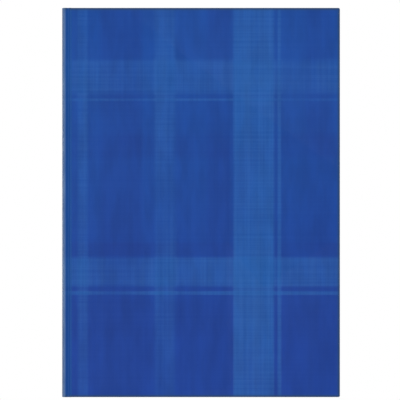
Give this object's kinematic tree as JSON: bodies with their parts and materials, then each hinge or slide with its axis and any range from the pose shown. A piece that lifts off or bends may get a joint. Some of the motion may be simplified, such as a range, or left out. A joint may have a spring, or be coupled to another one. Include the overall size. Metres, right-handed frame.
{
  "type": "hardcover notebook",
  "caption": "Sewn hardback A4 notebook with a blue wrapped case, grooved joints, hinged covers and loose first and last leaves.",
  "frame": {"origin": "under the middle of the closed book, on the surface that its back cover lies on", "axes": "+Y towards the head of the book, along its height; +X from the spine to the fore-edge; +Z out of the front cover"},
  "size_m": [0.2164, 0.3032, 0.0166],
  "materials": {
    "writing_paper": "smooth uncoated writing paper, ruled in pale blue squares",
    "endpaper": "plain heavy offset paper",
    "printed_cover_paper": "printed blue check under a smooth satin laminate",
    "greyboard": "solid grey board, about 0.7 g/cm3, so nearer to paper than to corrugated board",
    "kraft_paper": "brown lining paper",
    "gauze": "open starched cotton gauze",
    "linen_thread": "twisted sewing thread",
    "band_cloth": "woven cotton band, blue and white"
  },
  "bodies": {
    "text_block": {"section_01": "writing_paper", "section_02": "writing_paper", "section_03": "writing_paper", "section_04": "writing_paper", "section_05": "writing_paper", "section_06": "writing_paper", "section_07": "writing_paper", "section_08": "writing_paper", "section_09": "writing_paper", "section_10": "writing_paper", "section_11": "writing_paper", "section_12": "writing_paper", "sewing_thread_1": "linen_thread", "sewing_thread_2": "linen_thread", "sewing_thread_3": "linen_thread", "sewing_thread_4": "linen_thread", "spine_mull": "gauze", "spine_lining": "kraft_paper", "head_band": "band_cloth", "tail_band": "band_cloth", "spine_board": "greyboard", "spine_covering": "printed_cover_paper", "front_joint_covering": "printed_cover_paper", "back_joint_covering": "printed_cover_paper", "front_hinge_strip": "endpaper", "back_hinge_strip": "endpaper"},
    "front_cover": {"front_board": "greyboard", "front_covering": "printed_cover_paper", "front_mull_wing": "gauze", "front_pastedown": "endpaper"},
    "back_cover": {"back_board": "greyboard", "back_covering": "printed_cover_paper", "back_mull_wing": "gauze", "back_pastedown": "endpaper"},
    "front_flyleaf": {"front_flyleaf": "endpaper"},
    "front_leaf_1": {"front_leaf_1": "writing_paper"},
    "front_leaf_2": {"front_leaf_2": "writing_paper"},
    "front_leaf_3": {"front_leaf_3": "writing_paper"},
    "back_flyleaf": {"back_flyleaf": "endpaper"},
    "back_leaf_1": {"back_leaf_1": "writing_paper"},
    "back_leaf_2": {"back_leaf_2": "writing_paper"}
  },
  "joints": [
    {"name": "front_cover_hinge", "type": "hinge", "parent": "text_block", "child": "front_cover", "pos_m": [-0.10401, 0, 0.01694], "axis": [0, -1, 0], "range_deg": [0, 180]},
    {"name": "back_cover_hinge", "type": "hinge", "parent": "text_block", "child": "back_cover", "pos_m": [-0.10401, 0, -0.0003], "axis": [0, 1, 0], "range_deg": [0, 180]},
    {"name": "front_flyleaf_turn", "type": "hinge", "parent": "text_block", "child": "front_flyleaf", "pos_m": [-0.10086, 0, 0.01374], "axis": [0, -1, 0], "range_deg": [0, 90]},
    {"name": "front_leaf_1_turn", "type": "hinge", "parent": "text_block", "child": "front_leaf_1", "pos_m": [-0.10086, 0, 0.01359], "axis": [0, -1, 0], "range_deg": [0, 76]},
    {"name": "front_leaf_2_turn", "type": "hinge", "parent": "text_block", "child": "front_leaf_2", "pos_m": [-0.10086, 0, 0.01348], "axis": [0, -1, 0], "range_deg": [0, 61]},
    {"name": "front_leaf_3_turn", "type": "hinge", "parent": "text_block", "child": "front_leaf_3", "pos_m": [-0.10086, 0, 0.01337], "axis": [0, -1, 0], "range_deg": [0, 45]},
    {"name": "back_flyleaf_turn", "type": "hinge", "parent": "text_block", "child": "back_flyleaf", "pos_m": [-0.10086, 0, 0.0029], "axis": [0, 1, 0], "range_deg": [0, 90]},
    {"name": "back_leaf_1_turn", "type": "hinge", "parent": "text_block", "child": "back_leaf_1", "pos_m": [-0.10086, 0, 0.00305], "axis": [0, 1, 0], "range_deg": [0, 72]},
    {"name": "back_leaf_2_turn", "type": "hinge", "parent": "text_block", "child": "back_leaf_2", "pos_m": [-0.10086, 0, 0.00316], "axis": [0, 1, 0], "range_deg": [0, 54]}
  ],
  "couplings": [
    {"joint": "front_flyleaf_turn", "follows": "front_cover_hinge", "ratio": 0.5},
    {"joint": "front_leaf_1_turn", "follows": "front_cover_hinge", "ratio": 0.42},
    {"joint": "front_leaf_2_turn", "follows": "front_cover_hinge", "ratio": 0.33},
    {"joint": "front_leaf_3_turn", "follows": "front_cover_hinge", "ratio": 0.24},
    {"joint": "back_flyleaf_turn", "follows": "back_cover_hinge", "ratio": 0.5},
    {"joint": "back_leaf_1_turn", "follows": "back_cover_hinge", "ratio": 0.4},
    {"joint": "back_leaf_2_turn", "follows": "back_cover_hinge", "ratio": 0.3}
  ]
}
